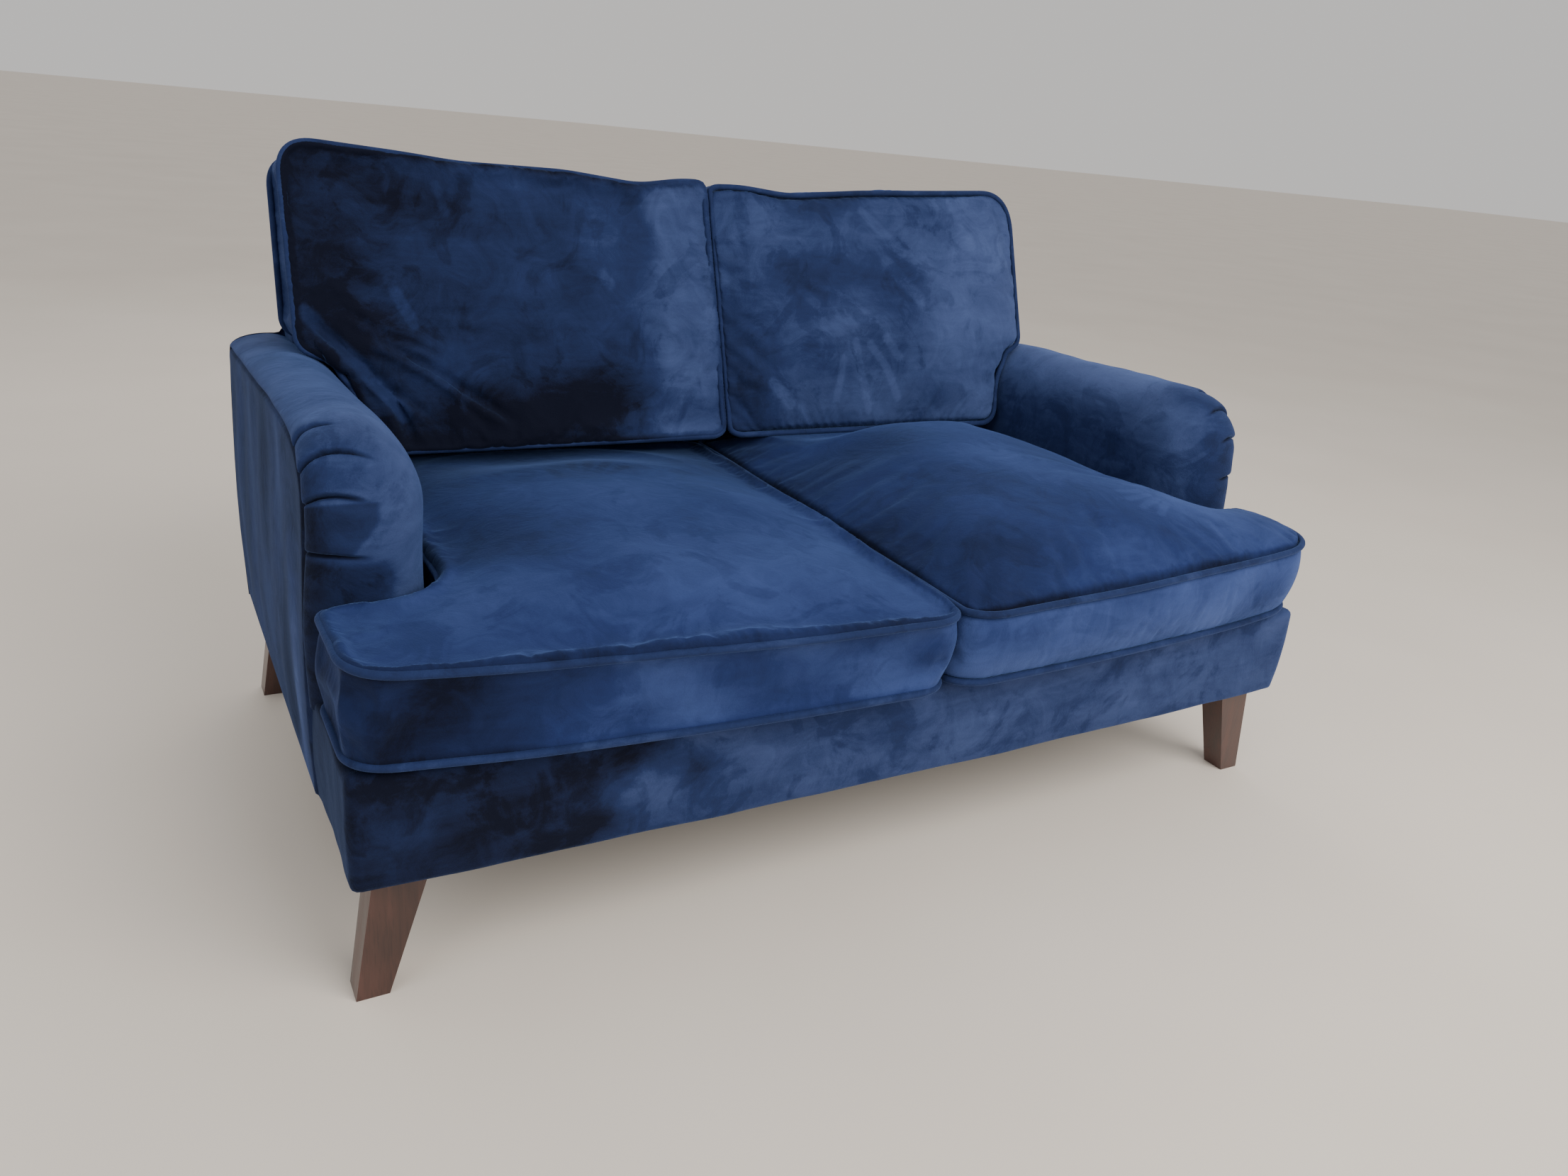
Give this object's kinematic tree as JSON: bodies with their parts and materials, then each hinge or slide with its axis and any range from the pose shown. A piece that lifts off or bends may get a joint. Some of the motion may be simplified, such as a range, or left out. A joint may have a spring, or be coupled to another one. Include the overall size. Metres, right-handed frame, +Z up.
{
  "type": "sofa",
  "caption": "two-seat upholstered sofa with low rolled arms, loose piped seat and back cushions in blue velvet, and tapered wooden legs",
  "frame": {"origin": "on the floor, under the middle of the sofa's overall width and depth", "axes": "+X to the right facing the front, +Y to the back, +Z up"},
  "size_m": [1.44, 0.9903, 0.8495],
  "materials": {
    "frame_timber": "sawn softwood",
    "dowels": "plain beech",
    "leg_wood": "dark mahogany stain, satin",
    "steel": "zinc plated",
    "felt": "needled felt",
    "deck_cloth": "plain lining cloth",
    "dust_cloth": "non-woven cloth",
    "webbing": "elastic webbing",
    "foam": "polyurethane foam",
    "velvet": "plush velvet",
    "cushion_velvet": "plush velvet",
    "piping": "velvet-covered cord",
    "zip": "nylon coil zip"
  },
  "bodies": {
    "frame": {"front_rail": "frame_timber", "back_rail": "frame_timber", "side_rail_left": "frame_timber", "side_rail_right": "frame_timber", "seat_stretcher": "frame_timber", "arm_post_left": "frame_timber", "arm_post_right": "frame_timber", "arm_rail_left": "frame_timber", "arm_rail_right": "frame_timber", "back_post_left": "frame_timber", "back_post_right": "frame_timber", "top_rail": "frame_timber", "tacking_rail": "frame_timber", "corner_blocks": "frame_timber", "frame_dowels": "dowels", "seat_springs": "steel", "spring_clips": "steel", "spring_pad": "felt", "seat_deck": "deck_cloth", "dust_cover": "dust_cloth", "leg_front_left": "leg_wood", "leg_front_right": "leg_wood", "leg_rear_left": "leg_wood", "leg_rear_right": "leg_wood", "leg_bolts": "steel", "leg_nuts": "steel", "border_padding": "foam", "border_cover": "velvet", "arm_padding_left": "foam", "arm_padding_right": "foam", "arm_cover_left": "velvet", "arm_cover_right": "velvet", "outer_arm_left": "velvet", "outer_arm_right": "velvet", "back_webbing": "webbing", "back_padding": "foam", "back_cover": "velvet", "outer_back": "velvet"},
    "seat_cushion_left": {"seat_core_left": "foam", "seat_cover_left": "cushion_velvet", "seat_piping_top_left": "piping", "seat_piping_bottom_left": "piping", "seat_zip_left": "zip"},
    "back_cushion_left": {"back_core_left": "foam", "cushion_cover_left": "cushion_velvet", "back_piping_front_left": "piping", "back_piping_rear_left": "piping", "back_zip_left": "zip"},
    "seat_cushion_right": {"seat_core_right": "foam", "seat_cover_right": "cushion_velvet", "seat_piping_top_right": "piping", "seat_piping_bottom_right": "piping", "seat_zip_right": "zip"},
    "back_cushion_right": {"back_core_right": "foam", "cushion_cover_right": "cushion_velvet", "back_piping_front_right": "piping", "back_piping_rear_right": "piping", "back_zip_right": "zip"}
  },
  "joints": [
    {"name": "seat_cushion_left_slide", "type": "slide", "parent": "frame", "child": "seat_cushion_left", "axis": [0, -1, 0], "range_m": [0, 0.45]},
    {"name": "back_cushion_left_lift", "type": "slide", "parent": "frame", "child": "back_cushion_left", "axis": [0, 0.225, 0.9744], "range_m": [0, 0.35]},
    {"name": "seat_cushion_right_slide", "type": "slide", "parent": "frame", "child": "seat_cushion_right", "axis": [0, -1, 0], "range_m": [0, 0.45]},
    {"name": "back_cushion_right_lift", "type": "slide", "parent": "frame", "child": "back_cushion_right", "axis": [0, 0.225, 0.9744], "range_m": [0, 0.35]}
  ]
}
